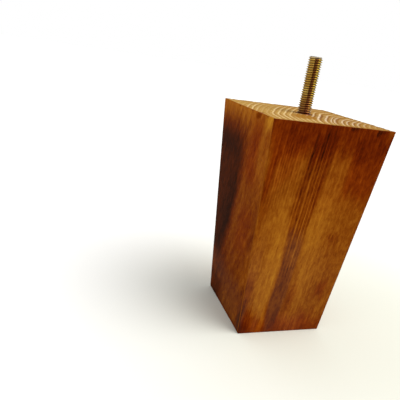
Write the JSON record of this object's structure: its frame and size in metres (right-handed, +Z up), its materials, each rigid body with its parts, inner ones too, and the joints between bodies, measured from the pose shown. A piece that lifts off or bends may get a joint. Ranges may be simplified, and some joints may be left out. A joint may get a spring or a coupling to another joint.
{
  "type": "tapered wooden furniture leg",
  "caption": "Square solid pine furniture leg, tapered on all four sides, stained and lacquered, with a threaded metal stud standing up from the middle of its bare end-grain top.",
  "frame": {"origin": "centre of the foot, on the surface that the leg stands on", "axes": "+Z up along the leg and its stud; -Y is the front side in the picture, -X the side at its left"},
  "size_m": [0.072, 0.072, 0.1615],
  "materials": {
    "stained_pine": "stained orange-brown with a satin lacquer on the four sides, bare end grain on top",
    "yellow_passivated_steel": "rolled thread in yellow-passivated zinc"
  },
  "bodies": {
    "root": {"leg_block": "stained_pine", "hanger_bolt": "yellow_passivated_steel"}
  },
  "joints": []
}
